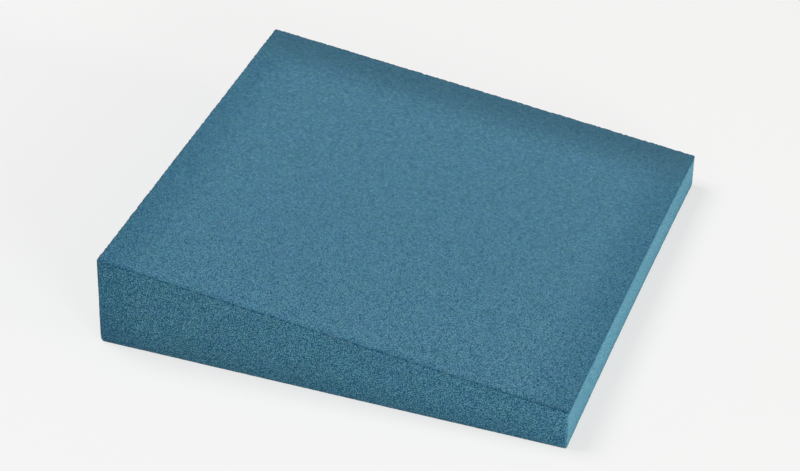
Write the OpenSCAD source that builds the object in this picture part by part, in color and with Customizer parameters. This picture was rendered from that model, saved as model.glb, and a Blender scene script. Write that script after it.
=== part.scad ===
// Sloped acoustic wall tile, cut in one piece from a block of fine open-cell foam.
// It lies on its flat back with the origin at the centre of that face. X runs from the
// thick edge to the thin edge, Y from the front edge to the back edge, and Z out from
// the wall. Heights are those of the sharp corners, before their edges are softened.

/* [Plan] */
// Side from the thick edge to the thin edge
tile_length = 300; // [200:5:600]
// Side from the front edge to the back edge
tile_width = 300; // [200:5:600]

/* [Sloping face] */
// Height of the thick edge at its front corner
thick_edge = 61; // [40:1:120]
// Height of the thin edge at its front corner
thin_edge = 27; // [15:1:60]
// How far the back edge lies below the front edge
back_fall = 4; // [0:0.5:8]

/* [Cut edges] */
// Radius of the four upright corners
corner_radius = 1.5; // [1.5:0.5:6]
// Radius of the soft edges round the back and round the sloping face
edge_radius = 0.6; // [0.4:0.1:1.2]

/* [Hidden] */
foam_colour = "#4b7a91";
arc_sides = 32;

// Fall of the sloping face for each millimetre along X and along Y
fall_x = (thick_edge - thin_edge) / tile_length;
fall_y = back_fall / tile_width;

// A soft corner is a ring: a round edge swept round an upright corner
ring_radius = corner_radius - edge_radius;
corner_x = tile_length / 2 - corner_radius;
corner_y = tile_width / 2 - corner_radius;

// How far below the sloping face a ring's middle lies when the ring just touches it
ring_depth = edge_radius * norm([fall_x, fall_y, 1]) + ring_radius * norm([fall_x, fall_y]);

// Height of the sloping face above a point of the back
function face_height(x, y) =
    thick_edge - fall_x * (x + tile_length / 2) - fall_y * (y + tile_width / 2);

// Ring of one soft corner, flat in its own plane and closed at its middle
module corner_ring() {
    rotate_extrude($fn = arc_sides)
        intersection() {
            translate([ring_radius, 0])
                circle(r = edge_radius, $fn = arc_sides);
            translate([0, -edge_radius])
                square([corner_radius, 2 * edge_radius]);
        }
}

// The tile: the skin stretched over a ring at each corner of the back and of the face
module foam_tile() {
    color(foam_colour)
        hull()
            for (x = [-corner_x, corner_x], y = [-corner_y, corner_y]) {
                translate([x, y, edge_radius])
                    corner_ring();
                translate([x, y, face_height(x, y) - ring_depth])
                    corner_ring();
            }
}

foam_tile();
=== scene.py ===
import math
import bpy
from mathutils import Matrix, Vector


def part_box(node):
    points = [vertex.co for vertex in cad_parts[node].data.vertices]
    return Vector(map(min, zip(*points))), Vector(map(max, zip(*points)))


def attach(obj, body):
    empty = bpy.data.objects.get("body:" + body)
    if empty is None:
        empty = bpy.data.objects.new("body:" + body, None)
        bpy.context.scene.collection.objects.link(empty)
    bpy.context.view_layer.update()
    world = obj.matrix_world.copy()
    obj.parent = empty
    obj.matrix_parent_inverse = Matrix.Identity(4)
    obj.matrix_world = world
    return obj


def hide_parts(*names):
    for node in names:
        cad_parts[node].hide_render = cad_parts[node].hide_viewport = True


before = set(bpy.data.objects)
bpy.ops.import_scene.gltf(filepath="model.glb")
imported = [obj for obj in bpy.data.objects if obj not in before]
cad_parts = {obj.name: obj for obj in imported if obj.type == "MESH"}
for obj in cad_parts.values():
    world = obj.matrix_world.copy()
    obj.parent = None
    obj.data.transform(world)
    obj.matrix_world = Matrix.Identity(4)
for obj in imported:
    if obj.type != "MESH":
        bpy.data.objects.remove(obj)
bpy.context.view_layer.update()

mm = 0.001
scene = bpy.context.scene


# Adds a node. Settings are its attributes. Inputs go by name or place, and each is a value, a
# socket, or another node, which gives its first live output.
def addNode(tree, kind, inputs=(), **settings):
    node = tree.nodes.new(kind)
    for name, value in settings.items():
        setattr(node, name, value)
    for key, value in inputs.items() if isinstance(inputs, dict) else enumerate(inputs):
        if isinstance(value, bpy.types.Node):
            value = next(s for s in value.outputs if s.enabled)
        if isinstance(value, bpy.types.NodeSocket):
            tree.links.new(value, node.inputs[key])
        else:
            node.inputs[key].default_value = value
    return node


# sRGB hex to the linear colour that the nodes take
def linearColour(code):
    parts = [int(code[i:i + 2], 16) / 255 for i in (1, 3, 5)]
    return (*(c / 12.92 if c <= 0.04045 else ((c + 0.055) / 1.055) ** 2.4 for c in parts), 1)


# Camera
cameraSetup = {
    "place": (0.4646, -1.4220, 1.0629),  # metres, as is the aim
    "aim": (-0.01406, 0.02309, 0.0),
    "roll": 1.45,            # degrees by which the picture turns clockwise
    "lens": 128.08,          # millimetres, as is the sensor
    "sensor": 36,
}


def makeCamera():
    data = bpy.data.cameras.new("camera")
    data.lens = cameraSetup["lens"]
    data.sensor_width = cameraSetup["sensor"]
    camera = bpy.data.objects.new("camera", data)
    scene.collection.objects.link(camera)
    place = Vector(cameraSetup["place"])
    aim = Vector(cameraSetup["aim"]) - place
    turn = aim.to_track_quat("-Z", "Y").to_matrix() @ Matrix.Rotation(
        math.radians(cameraSetup["roll"]), 3, "Z")
    camera.matrix_world = Matrix.Translation(place) @ turn.to_4x4()
    scene.camera = camera
    print("camera placed")


# Foam: fine open-cell polyurethane, dyed through and cut with a blade. The cut opens the cells, so
# the skin is matt and grainy: dark pores between pale struts, with a faint nap.
# A rim has the distances in from its edge at which it starts and at which it is full.
foamLook = {
    "poreColour": "#004965",
    "wallColour": "#3b6f88",
    "strutColour": "#6393aa",
    "cell": 0.8 * mm,           # real cells are about 0.5 mm, drawn coarser so that they show
    "knotSpan": (0.1, 0.75),    # a strut's knot fades out between these shares of a cell
    "grainPerCell": 1.8,        # finer grain over the cells
    "cellTone": 0.33,           # how much one cell differs from the next
    "wallLevel": 1.12,          # level of a plain cell wall
    "levelReach": 0.42,         # from there down to a pore, or up to a strut
    "poreDepth": 0.22 * mm,
    "faceGrain": (0.18, 0.98),  # how open the sloping face is, back left and front right
    "openToward": (0.25, -1, 0),  # direction in which the blade left them more open
    "openReach": 187 * mm,      # from the middle to where it is least or most open
    "openCurve": 1.6,           # above 1, more of the face stays closed
    "sideGrain": 1.15,          # how open the front and back are
    "endGrain": 0.62,           # and the thick and thin ends
    "endTurn": (0.5, 0.8),      # how far a surface turns to X from a side to an end
    "sideStart": (0.2 * mm, 0.8 * mm),  # depth under the sloping face at which the sides begin
    # painted light: tints the sides a little greener than the sloping face
    "sidePaintedLightTint": "#fcfffa",
    "smearSize": 2.2 * mm,      # smears where the cells are closed
    "smearShare": 0.66,         # level from the darkest smear to the palest
    "cloudSize": 7 * mm,        # soft clouds in the dye
    "cloudShare": 0.12,         # how much they show
    "edgeLine": 1.2 * mm,       # painted shade: a faint dark line along every edge
    "edgeShade": 0.09,
    "edgePores": 3,             # and how much deeper the pores are on the edge itself
    "edgePoreReach": 1.5 * mm,
    "frayReach": 2.8 * mm,      # painted shade: dark teeth along the top of the thick and thin ends, in place of torn cells
    "frayShade": 0.75,
    "frontRim": (4.4 * mm, 0),  # painted shade: a dark line along the front edge of the sloping face
    "frontShade": 0.17,
    "breakSize": 1.6 * mm,      # its gaps
    "breakSpan": (0.4, 0.6),
    "breakShare": (0.2, 1.4),   # what is left of it in a gap, and between gaps
    "endRim": (35 * mm, 4 * mm),   # painted shade: darker rims along its thick and thin ends
    "endShade": 0.125,
    "backRim": (52 * mm, 6 * mm),  # painted shade: a darker rim along its back edge
    "backShade": 0.48,
    "thickEndShadeRim": (34 * mm, 2 * mm),  # painted shade: the front and back are darker beside the thick end
    "thickEndShadeDepth": 0.13,
    "footBand": 0.55,           # painted shade: darker foot of each side, as a share of its height
    "footShade": 0.21,
    "paintedShadeColour": "#003a50",     # colour of the painted shade on the back rim and the foot
    "ior": 1.5,                 # polyurethane
    "roughness": 0.95,          # cut struts point every way
    "gloss": 0.1,               # most of what they reflect is lost in the pores
    "nap": 0.1,
    "napRoughness": 0.5,
}


def makeFoam():
    look = foamLook
    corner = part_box("foam_tile")[1]
    material = bpy.data.materials.new("polyurethaneFoamCut")
    material.use_nodes = True
    tree = material.node_tree
    tree.nodes.clear()

    def add(kind, inputs=(), **settings):
        return addNode(tree, kind, inputs, **settings)

    # a shade that grows from nothing at the first place to its full depth at the second
    def band(value, places, depth):
        return add("ShaderNodeMapRange", [value, *places, 0, depth], interpolation_type="SMOOTHSTEP")

    place = add("ShaderNodeTexCoord").outputs["Object"]

    # cells: pale knots where struts meet, dark pores between them, each with a tone of its own
    cells = add("ShaderNodeTexVoronoi", {"Vector": place, "Scale": 1 / look["cell"]})
    knots = add("ShaderNodeMapRange", [cells.outputs["Distance"], *look["knotSpan"], 1, 0])
    grain = add("ShaderNodeTexNoise",
                {"Vector": place, "Scale": look["grainPerCell"] / look["cell"], "Detail": 1})
    level = add("ShaderNodeMath", [knots, grain], operation="ADD")
    own = add("ShaderNodeSeparateColor", [cells.outputs["Color"]]).outputs["Red"]
    level = add("ShaderNodeMath", [own, look["cellTone"], level], operation="MULTIPLY_ADD")

    # where a point lies: on the sloping face or a side, and on which side
    under = add("ShaderNodeAttribute", attribute_name="faceDepth").outputs["Fac"]
    onSide = add("ShaderNodeMapRange", [under, *look["sideStart"]])
    onFace = add("ShaderNodeMapRange", [onSide, 0, 1, 1, 0])
    along = add("ShaderNodeSeparateXYZ", [place]).outputs
    normal = add("ShaderNodeSeparateXYZ", [add("ShaderNodeNewGeometry").outputs["True Normal"]])
    across = add("ShaderNodeMath", [normal.outputs["X"]], operation="ABSOLUTE")
    onFront = add("ShaderNodeMapRange", [across, 0, look["endTurn"][0], 1, 0])

    # the blade closed the cells of the sloping face, most of all at its back left corner
    reach = add("ShaderNodeVectorMath", [place, look["openToward"]], operation="DOT_PRODUCT")
    reach = add("ShaderNodeMapRange", [reach, -look["openReach"], look["openReach"]])
    opening = add("ShaderNodeMath", [reach, look["openCurve"]], operation="POWER")
    faceGrain = add("ShaderNodeMapRange", [opening, 0, 1, *look["faceGrain"]])
    sideGrain = add("ShaderNodeMapRange",
                    [across, *look["endTurn"], look["sideGrain"], look["endGrain"]])
    openness = add("ShaderNodeMix", {0: onSide, 2: faceGrain, 3: sideGrain}, data_type="FLOAT")
    relief = add("ShaderNodeMath", [level, look["wallLevel"]], operation="SUBTRACT")
    relief = add("ShaderNodeMath", [relief, openness], operation="MULTIPLY")

    # painted shade: a broken dark line along the front of the sloping face
    gaps = add("ShaderNodeTexNoise", {"Vector": place, "Scale": 1 / look["breakSize"], "Detail": 1})
    broken = add("ShaderNodeMapRange", [gaps, *look["breakSpan"], *look["breakShare"]])
    front = band(along["Y"], [inward - corner.y for inward in look["frontRim"]], look["frontShade"])
    front = add("ShaderNodeMath", [front, broken], operation="MULTIPLY")

    # painted shade: darker rims along its ends, as far as the painted shade along its back
    fromMiddle = add("ShaderNodeMath", [along["X"]], operation="ABSOLUTE")
    back = band(along["Y"], [corner.y - inward for inward in look["backRim"]], 1)
    ends = band(fromMiddle, [corner.x - inward for inward in look["endRim"]], look["endShade"])
    ends = add("ShaderNodeMath", [ends, add("ShaderNodeMath", [1, back], operation="SUBTRACT")],
               operation="MULTIPLY")
    faceShade = add("ShaderNodeMath", [front, ends], operation="ADD")

    # painted shade: a faint dark line along every edge
    edgeGap = add("ShaderNodeAttribute", attribute_name="edgeGap").outputs["Fac"]
    edge = band(edgeGap, (look["edgeLine"], 0), look["edgeShade"])
    dark = add("ShaderNodeMath", [faceShade, onFace, edge], operation="MULTIPLY_ADD")

    # painted shade: the front and back are darker beside the thick end
    thickEndShade = band(along["X"], [inward - corner.x for inward in look["thickEndShadeRim"]], look["thickEndShadeDepth"])
    thickEndShade = add("ShaderNodeMath", [thickEndShade, onFront], operation="MULTIPLY")
    dark = add("ShaderNodeMath", [thickEndShade, onSide, dark], operation="MULTIPLY_ADD")

    # painted shade: short dark teeth that reach down from the top of each end, in place of torn cells
    teeth = add("ShaderNodeMath", [broken, look["frayReach"]], operation="MULTIPLY")
    onEnd = add("ShaderNodeMapRange", [across, *look["endTurn"], 0, look["frayShade"]])
    fray = add("ShaderNodeMapRange", [under, 0, teeth, 1, 0])
    dark = add("ShaderNodeMath", [fray, onEnd, dark], operation="MULTIPLY_ADD")

    # smears of closed cells
    smears = add("ShaderNodeTexNoise", {"Vector": place, "Scale": 1 / look["smearSize"], "Detail": 1})
    smear = add("ShaderNodeMapRange", [smears, 0, 1, -look["smearShare"] / 2, look["smearShare"] / 2])
    shut = add("ShaderNodeMath", [1, opening], operation="SUBTRACT")
    shut = add("ShaderNodeMath", [shut, onFace], operation="MULTIPLY")
    tone = add("ShaderNodeMath", [smear, shut, relief], operation="MULTIPLY_ADD")

    # the tone runs from pore to wall to strut, and gives the colour
    tone = add("ShaderNodeMath", [tone, dark], operation="SUBTRACT")
    tone = add("ShaderNodeMapRange", [tone, -look["levelReach"], look["levelReach"]])
    ramp = add("ShaderNodeValToRGB", [tone])
    stops = ramp.color_ramp.elements
    stops.new(0.5)
    for stop, name in zip(stops, ("poreColour", "wallColour", "strutColour")):
        stop.color = linearColour(look[name])
    colour = ramp.outputs["Color"]

    # clouds in the dye
    clouds = add("ShaderNodeTexNoise", {"Vector": place, "Scale": 1 / look["cloudSize"], "Detail": 2})
    colour = add("ShaderNodeMix", {0: look["cloudShare"], 6: colour, 7: clouds.outputs["Color"]},
                 data_type="RGBA", blend_type="OVERLAY")

    # painted light: the sides are tinted a little greener than the sloping face, for the different
    # light on them
    colour = add("ShaderNodeMix", {0: onSide, 6: colour, 7: linearColour(look["sidePaintedLightTint"])},
                 data_type="RGBA", blend_type="MULTIPLY")

    # painted shade: a darker back rim on the sloping face, and a darker foot on the sides
    backShading = add("ShaderNodeMath", [back, look["backShade"]], operation="MULTIPLY")
    sideHeight = add("ShaderNodeMath", [along["Z"], under], operation="ADD")
    rise = add("ShaderNodeMath", [along["Z"], sideHeight], operation="DIVIDE")
    foot = band(rise, (look["footBand"], 0), look["footShade"])
    shade = add("ShaderNodeMix", {0: onFace, 2: foot, 3: backShading}, data_type="FLOAT")
    colour = add("ShaderNodeMix", {0: shade, 6: colour, 7: linearColour(look["paintedShadeColour"])},
                 data_type="RGBA")

    # relief of the cells, deeper towards the edges
    pores = add("ShaderNodeMapRange", [edgeGap, 0, look["edgePoreReach"], look["edgePores"], 1])
    height = add("ShaderNodeMath", [relief, pores], operation="MULTIPLY")
    bump = add("ShaderNodeBump", {"Strength": 1.0, "Distance": look["poreDepth"], "Height": height})
    surface = add("ShaderNodeBsdfPrincipled",
                  {"Base Color": colour, "Normal": bump, "Roughness": look["roughness"],
                   "IOR": look["ior"], "Specular IOR Level": look["gloss"],
                   "Sheen Weight": look["nap"],
                   "Sheen Roughness": look["napRoughness"]})
    add("ShaderNodeOutputMaterial", [surface])
    print("foam mixed")
    return material


# Foam tile: a wedge whose face falls two ways, with sharp cut edges and an uneven skin
tileShape = {
    "cornerRadius": 1.5 * mm,
    "edgeRadius": 0.6 * mm,
    "hollow": 0.8 * mm,      # how far the thin end bows in halfway along
    "rows": (264, 264, 24),  # mesh rows along X, Y and Z
    "edgeRows": 4,           # fine rows beside each edge
    "edgeRow": 0.25 * mm,    # width of a fine row
    "lumpSize": 7 * mm,
    "lumpDepth": 0.1 * mm,
    "tearReach": 1.2 * mm,   # width of the torn band along each edge
    "tearSize": 1.6 * mm,
    "tearDepth": 0.65 * mm,
    "tearSpan": (0.4, 0.7),  # levels of the noise from proud to torn
    "tearProud": 0.33,       # share of the depth that stands proud
    "restHeight": 5 * mm,    # below this the tears are pressed smoother, as the tile rests
    "restTears": 0.4,        # share of them that is left at the foot
    "nickReach": 2.5 * mm,   # size of the nick in the low front corner of the thick edge
    "nickDepth": 0.65 * mm,
    "backGap": 0.001 * mm,   # a point lower than this lies on the back
    "joinGap": 0.01 * mm,
}


def makeTileTree():
    tree = bpy.data.node_groups.new("cutFoamTile", "GeometryNodeTree")
    for name, kind in (
        ("Half Size", "Vector"), ("Fall", "Vector"), ("Half Rows", "Vector"),
        ("Edge Rows", "Float"), ("Edge Row", "Float"),
        ("Corner Radius", "Float"), ("Edge Radius", "Float"), ("Hollow", "Float"),
        ("Lump Size", "Float"), ("Lump Depth", "Float"),
        ("Tear Reach", "Float"), ("Tear Size", "Float"), ("Tear Depth", "Float"),
        ("Rest Height", "Float"), ("Rest Tears", "Float"),
        ("Nick Place", "Vector"), ("Nick Reach", "Float"), ("Nick Depth", "Float"),
        ("Back Gap", "Float"), ("Join Gap", "Float"), ("Foam", "Material"),
    ):
        tree.interface.new_socket(name=name, in_out="INPUT", socket_type="NodeSocket" + kind)
    tree.interface.new_socket(name="Tile", in_out="OUTPUT", socket_type="NodeSocketGeometry")

    def add(kind, inputs=(), **settings):
        return addNode(tree, kind, inputs, **settings)

    given = add("NodeGroupInput").outputs
    sums, vectors, split, join = ("ShaderNodeMath", "ShaderNodeVectorMath",
                                  "ShaderNodeSeparateXYZ", "ShaderNodeCombineXYZ")
    half = given["Half Size"]
    halfHeight = add(split, [half]).outputs["Z"]

    # a cube from -1 to 1, each row of which has a number counted in from the nearer edge
    points = add(vectors, [given["Half Rows"], (2, 2, 2), (1, 1, 1)], operation="MULTIPLY_ADD")
    counts = add(split, [points]).outputs
    grid = add("GeometryNodeMeshCube", {
        "Size": (2, 2, 2), "Vertices X": counts["X"], "Vertices Y": counts["Y"],
        "Vertices Z": counts["Z"]})
    place = add("GeometryNodeInputPosition")
    side = add(vectors, [place], operation="SIGN")
    inward = add(vectors, [(1, 1, 1), add(vectors, [place], operation="ABSOLUTE")],
                 operation="SUBTRACT")
    row = add(vectors, [inward, given["Half Rows"]], operation="MULTIPLY")
    fine = add(join, [given["Edge Rows"], given["Edge Rows"], given["Edge Rows"]])
    fineRow = add(vectors, [row, fine], operation="MINIMUM")
    wideRow = add(vectors, [row, fineRow], operation="SUBTRACT")
    wideRows = add(vectors, [given["Half Rows"], fine], operation="SUBTRACT")
    wideShare = add(vectors, [wideRow, wideRows], operation="DIVIDE")
    fineGap = add(vectors, {0: fineRow, "Scale": given["Edge Row"]}, operation="SCALE")
    fineWidth = add(vectors, {0: fine, "Scale": given["Edge Row"]}, operation="SCALE")

    # plan: a rectangle with round corners, each corner square drawn in to a quarter disc
    wideWidth = add(vectors, [half, fineWidth], operation="SUBTRACT")
    gap = add(vectors, [wideShare, wideWidth, fineGap], operation="MULTIPLY_ADD")
    reach = add(vectors, [half, gap], operation="SUBTRACT")
    radius = add(join, [given["Corner Radius"], given["Corner Radius"], 0])
    held = add(vectors, [reach, add(vectors, [half, radius], operation="SUBTRACT")],
               operation="MINIMUM")
    beyond = add(vectors, [add(vectors, [reach, held], operation="SUBTRACT"), (1, 1, 0)],
                 operation="MULTIPLY")
    beyondSplit = add(split, [beyond])
    beyondMost = add(sums, [beyondSplit.outputs["X"], beyondSplit.outputs["Y"]], operation="MAXIMUM")
    beyondLength = add(vectors, [beyond], operation="LENGTH")
    turn = add(sums, [beyondMost, beyondLength], operation="DIVIDE")
    rounded = add(vectors, {0: beyond, "Scale": turn}, operation="SCALE")
    outline = add(vectors, [held, rounded], operation="ADD")

    # half the height of the tile at each point, and how deep the point lies under the nearer face
    planPoint = add(vectors, [outline, side], operation="MULTIPLY")
    drop = add(vectors, [planPoint, given["Fall"]], operation="DOT_PRODUCT")
    tall = add(sums, [add(sums, [drop, -0.5], operation="MULTIPLY"), halfHeight], operation="ADD")
    tallWide = add(sums, [tall, add(split, [fineWidth]).outputs["Z"]], operation="SUBTRACT")
    depth = add(sums, [add(split, [wideShare]).outputs["Z"], tallWide,
                       add(split, [fineGap]).outputs["Z"]], operation="MULTIPLY_ADD")

    # edges: the same drawing-in, between the outline and the face
    flat = add(sums, [given["Corner Radius"], given["Edge Radius"]], operation="SUBTRACT")
    across = add(sums, [add(sums, [beyondMost, flat], operation="SUBTRACT"), 0], operation="MAXIMUM")
    upward = add(sums, [add(sums, [given["Edge Radius"], depth], operation="SUBTRACT"), 0],
                 operation="MAXIMUM")
    bend = add(join, [across, upward, 0])
    bendLength = add(vectors, [bend], operation="LENGTH")
    bendMost = add(sums, [across, upward], operation="MAXIMUM")
    lost = add(sums, [1, add(sums, [bendMost, bendLength], operation="DIVIDE")], operation="SUBTRACT")
    moved = add(split, [add(vectors, {0: bend, "Scale": lost}, operation="SCALE")])
    outward = add(vectors, [rounded], operation="NORMALIZE")
    pulled = add(vectors, {0: outward, "Scale": moved.outputs["X"]}, operation="SCALE")
    drawn = add(vectors, [outline, pulled], operation="SUBTRACT")
    plan = add(split, [add(vectors, [drawn, side], operation="MULTIPLY")])
    offCentre = add(sums, [add(sums, [tall, depth], operation="SUBTRACT"), moved.outputs["Y"]],
                    operation="SUBTRACT")
    height = add(sums, [offCentre, add(split, [side]).outputs["Z"], tall], operation="MULTIPLY_ADD")

    # the thin end bows in
    edges = add(split, [half])
    share = add(sums, [plan.outputs["Y"], edges.outputs["Y"]], operation="DIVIDE")
    bow = add(sums, [1, add(sums, [share, share], operation="MULTIPLY")], operation="SUBTRACT")
    toward = add(sums, [add(sums, [plan.outputs["X"], edges.outputs["X"]], operation="DIVIDE"), 0],
                 operation="MAXIMUM")
    bowed = add(sums, [add(sums, [bow, toward], operation="MULTIPLY"), given["Hollow"]],
                operation="MULTIPLY")
    along = add(sums, [plan.outputs["X"], bowed], operation="SUBTRACT")
    shaped = add(join, [along, plan.outputs["Y"], height])

    # distance to the nearest edge: the middle one of the distances to the three pairs of faces.
    # It is kept for the foam, with the depth under the sloping face.
    gaps = add(split, [gap])
    nearGap = add(sums, [gaps.outputs["X"], gaps.outputs["Y"]], operation="MINIMUM")
    farGap = add(sums, [gaps.outputs["X"], gaps.outputs["Y"]], operation="MAXIMUM")
    edgeGap = add(sums, [nearGap, add(sums, [farGap, depth], operation="MINIMUM")],
                  operation="MAXIMUM")
    under = add(sums, [add(sums, [tall, 2], operation="MULTIPLY"), height], operation="SUBTRACT")
    marked = grid
    for name, value in (("edgeGap", edgeGap), ("faceDepth", under)):
        marked = add("GeometryNodeStoreNamedAttribute",
                     {"Geometry": marked, "Name": name, "Value": value},
                     data_type="FLOAT", domain="POINT")
    wedge = add("GeometryNodeSetPosition", {"Geometry": marked, "Position": shaped})

    # the back lies flat, so one face fills it
    here = add("GeometryNodeInputPosition")
    low = add("FunctionNodeCompare", [add(split, [here]).outputs["Z"], given["Back Gap"]],
              data_type="FLOAT", operation="LESS_THAN")
    opened = add("GeometryNodeDeleteGeometry", [wedge, low], domain="FACE")
    faceCount = add("GeometryNodeInputMeshEdgeNeighbors")
    lip = add("FunctionNodeCompare", {2: faceCount, 3: 1}, data_type="INT", operation="EQUAL")
    back = add("GeometryNodeFillCurve", [add("GeometryNodeMeshToCurve", [opened, lip])], mode="NGONS")
    flipped = add("GeometryNodeFlipFaces", [back])
    joined = add("GeometryNodeJoinGeometry", [opened])  # its one input takes both
    tree.links.new(flipped.outputs["Mesh"], joined.inputs["Geometry"])
    closed = add("GeometryNodeMergeByDistance", {"Geometry": joined, "Distance": given["Join Gap"]})

    # skin: low lumps all over, torn cells along the edges and one nick, none of them below the back
    lumps = add("ShaderNodeTexNoise", {"Vector": here, "Detail": 1,
                "Scale": add(sums, [1, given["Lump Size"]], operation="DIVIDE")})
    lump = add(sums, [add(sums, [lumps, 0.5], operation="SUBTRACT"), given["Lump Depth"]],
               operation="MULTIPLY")
    gapHere = add("GeometryNodeInputNamedAttribute", {"Name": "edgeGap"}, data_type="FLOAT")
    band = add("ShaderNodeMapRange", [gapHere, 0, given["Tear Reach"], 1, 0],
               interpolation_type="SMOOTHSTEP")
    chips = add("ShaderNodeTexNoise", {"Vector": here, "Detail": 2,
                "Scale": add(sums, [1, given["Tear Size"]], operation="DIVIDE")})
    proud = tileShape["tearProud"]
    torn = add("ShaderNodeMapRange", [chips, *tileShape["tearSpan"], -proud, 1 - proud])
    tear = add(sums, [add(sums, [band, torn], operation="MULTIPLY"), given["Tear Depth"]],
               operation="MULTIPLY")
    rested = add("ShaderNodeMapRange", [add(split, [here]).outputs["Z"], 0, given["Rest Height"],
                                        given["Rest Tears"], 1])
    tear = add(sums, [tear, rested], operation="MULTIPLY")
    nickGap = add(vectors, [here, given["Nick Place"]], operation="DISTANCE")
    nick = add("ShaderNodeMapRange", [nickGap, 0, given["Nick Reach"], given["Nick Depth"], 0],
               interpolation_type="SMOOTHSTEP")
    nicked = add(vectors, {0: (1, 1, 0), "Scale": nick}, operation="SCALE")
    relief = add(sums, [lump, tear], operation="SUBTRACT")
    raised = add(vectors, {0: add("GeometryNodeInputNormal"), "Scale": relief}, operation="SCALE")
    fade = add("ShaderNodeMapRange", [add(split, [here]).outputs["Z"], 0, given["Tear Reach"]])
    shift = add(vectors, [raised, add(join, [1, 1, fade]), nicked], operation="MULTIPLY_ADD")
    skin = add("GeometryNodeSetPosition", {"Geometry": closed, "Offset": shift})
    smooth = add("GeometryNodeSetShadeSmooth", [skin])
    real = add("GeometryNodeRealizeInstances", [smooth])
    finished = add("GeometryNodeSetMaterial", {"Geometry": real, "Material": given["Foam"]})
    add("NodeGroupOutput", [finished])
    return tree


def makeTile(foam):
    shape = tileShape
    low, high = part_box("foam_tile")
    halfX, halfY = (high.x - low.x) / 2, (high.y - low.y) / 2

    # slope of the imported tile's face, and its height in the middle
    upward = [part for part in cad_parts["foam_tile"].data.polygons if part.normal.z > 0]
    face = max(upward, key=lambda part: part.area)
    fallX, fallY = face.normal.x / face.normal.z, face.normal.y / face.normal.z
    middle = face.center.z + fallX * face.center.x + fallY * face.center.y

    tree = makeTileTree()
    block = bpy.data.objects.new("foamBlock", bpy.data.meshes.new("foamBlock"))
    scene.collection.objects.link(block)
    modifier = block.modifiers.new("tile", "NODES")
    modifier.node_group = tree
    values = {
        "Half Size": (halfX, halfY, middle / 2), "Fall": (fallX, fallY, 0),
        "Half Rows": tuple(rows / 2 for rows in shape["rows"]),
        "Edge Rows": float(shape["edgeRows"]), "Edge Row": shape["edgeRow"],
        "Corner Radius": shape["cornerRadius"], "Edge Radius": shape["edgeRadius"],
        "Hollow": shape["hollow"],
        "Lump Size": shape["lumpSize"], "Lump Depth": shape["lumpDepth"],
        "Tear Reach": shape["tearReach"], "Tear Size": shape["tearSize"],
        "Tear Depth": shape["tearDepth"],
        "Rest Height": shape["restHeight"], "Rest Tears": shape["restTears"],
        "Nick Place": (-halfX, -halfY, 0), "Nick Reach": shape["nickReach"],
        "Nick Depth": shape["nickDepth"],
        "Back Gap": shape["backGap"], "Join Gap": shape["joinGap"], "Foam": foam,
    }
    for socket in tree.interface.items_tree:
        if socket.in_out == "INPUT":
            modifier[socket.identifier] = values[socket.name]
    evaluated = block.evaluated_get(bpy.context.evaluated_depsgraph_get())
    mesh = bpy.data.meshes.new_from_object(evaluated)
    bpy.data.objects.remove(block)
    mesh.name = "foamTile"
    tile = bpy.data.objects.new("foamTile", mesh)
    scene.collection.objects.link(tile)
    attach(tile, "root")
    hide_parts("foam_tile")
    print("tile made:", len(mesh.polygons), "faces")


# Floor and light
stageSetup = {
    "floorColour": "#f2f2f2",
    "floorWidth": 12,
    "floorGap": 0.1 * mm,
    "backdropColour": "#f2f2f2",
    "backdropShare": 0.7,     # how much of the floor's look is the even backdrop
    "floorFade": (1.2, 3.5),  # distances between which the floor passes into the backdrop
    "worldColour": "#ffffff",
    "worldStrength": 0.3,
}

lampSetup = {
    # name: azimuth from the front and height in degrees, distance, width, watts, colour
    "left": ((-90, 58), 3.6, 1.9, 90.0, "#ffffff"),
    "rightFront": ((45, 14), 2.0, 0.7, 21.0, "#f7ffff"),
    "right": ((90, 6), 3.5, 0.7, 131.0, "#fff3e2"),
}


# How much of a surface is the pale backdrop: nothing for the light that falls on the object
def backdropShare(tree, share):
    rays = addNode(tree, "ShaderNodeLightPath").outputs
    seen = addNode(tree, "ShaderNodeMath", [rays["Is Camera Ray"], rays["Is Glossy Ray"]],
                   operation="ADD")
    seen = addNode(tree, "ShaderNodeMath", [seen, rays["Is Transmission Ray"]], operation="ADD")
    return addNode(tree, "ShaderNodeMath", [seen, share], operation="MULTIPLY")


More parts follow.
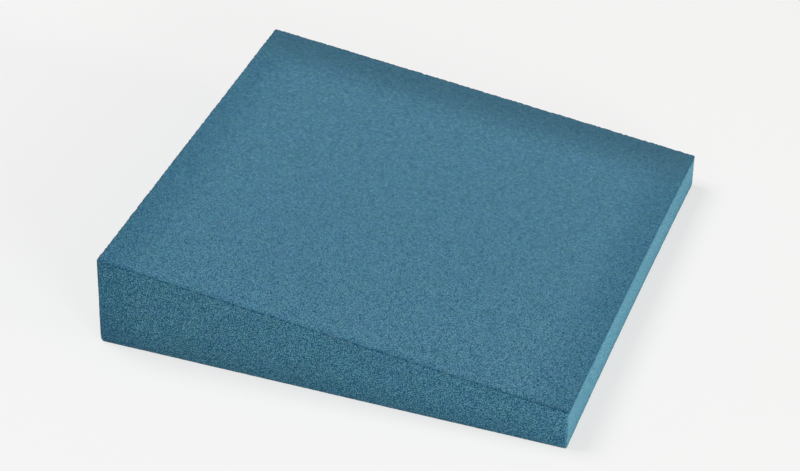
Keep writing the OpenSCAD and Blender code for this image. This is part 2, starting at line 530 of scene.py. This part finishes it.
def makeStage():
    backdrop = linearColour(stageSetup["backdropColour"])
    mesh = bpy.data.meshes.new("floor")
    reach = stageSetup["floorWidth"] / 2
    low = -stageSetup["floorGap"]
    mesh.from_pydata([(-reach, -reach, low), (reach, -reach, low), (reach, reach, low),
                      (-reach, reach, low)], [], [(0, 1, 2, 3)])
    material = bpy.data.materials.new("paperFloor")
    material.use_nodes = True
    tree = material.node_tree
    tree.nodes.clear()
    paper = addNode(tree, "ShaderNodeBsdfDiffuse", {"Color": linearColour(stageSetup["floorColour"])})
    glow = addNode(tree, "ShaderNodeEmission", {"Color": backdrop})
    place = addNode(tree, "ShaderNodeTexCoord").outputs["Object"]
    away = addNode(tree, "ShaderNodeVectorMath", [place], operation="LENGTH")
    share = addNode(tree, "ShaderNodeMapRange",
                    [away, *stageSetup["floorFade"], stageSetup["backdropShare"], 1])
    surface = addNode(tree, "ShaderNodeMixShader", [backdropShare(tree, share), paper, glow])
    addNode(tree, "ShaderNodeOutputMaterial", [surface])
    mesh.materials.append(material)
    floor = bpy.data.objects.new("floor", mesh)
    scene.collection.objects.link(floor)

    world = bpy.data.worlds.new("world")
    world.use_nodes = True
    tree = world.node_tree
    tree.nodes.clear()
    room = addNode(tree, "ShaderNodeBackground", {"Color": linearColour(stageSetup["worldColour"]),
                                                  "Strength": stageSetup["worldStrength"]})
    pale = addNode(tree, "ShaderNodeBackground", {"Color": backdrop, "Strength": 1})
    surface = addNode(tree, "ShaderNodeMixShader", [backdropShare(tree, 1), room, pale])
    addNode(tree, "ShaderNodeOutputWorld", [surface])
    scene.world = world

    for name, ((azimuth, rise), distance, width, watts, colour) in lampSetup.items():
        data = bpy.data.lights.new(name, "AREA")
        data.shape = "SQUARE"
        data.size = width
        data.energy = watts
        data.color = linearColour(colour)[:3]
        lamp = bpy.data.objects.new(name, data)
        scene.collection.objects.link(lamp)
        turn, lift = math.radians(azimuth), math.radians(rise)
        place = distance * Vector((math.sin(turn) * math.cos(lift), -math.cos(turn) * math.cos(lift),
                                   math.sin(lift)))
        facing = (-place).to_track_quat("-Z", "Y").to_matrix().to_4x4()
        lamp.matrix_world = Matrix.Translation(place) @ facing
    print("stage lit")


makeCamera()
makeTile(makeFoam())
makeStage()
scene.view_settings.view_transform = "Standard"
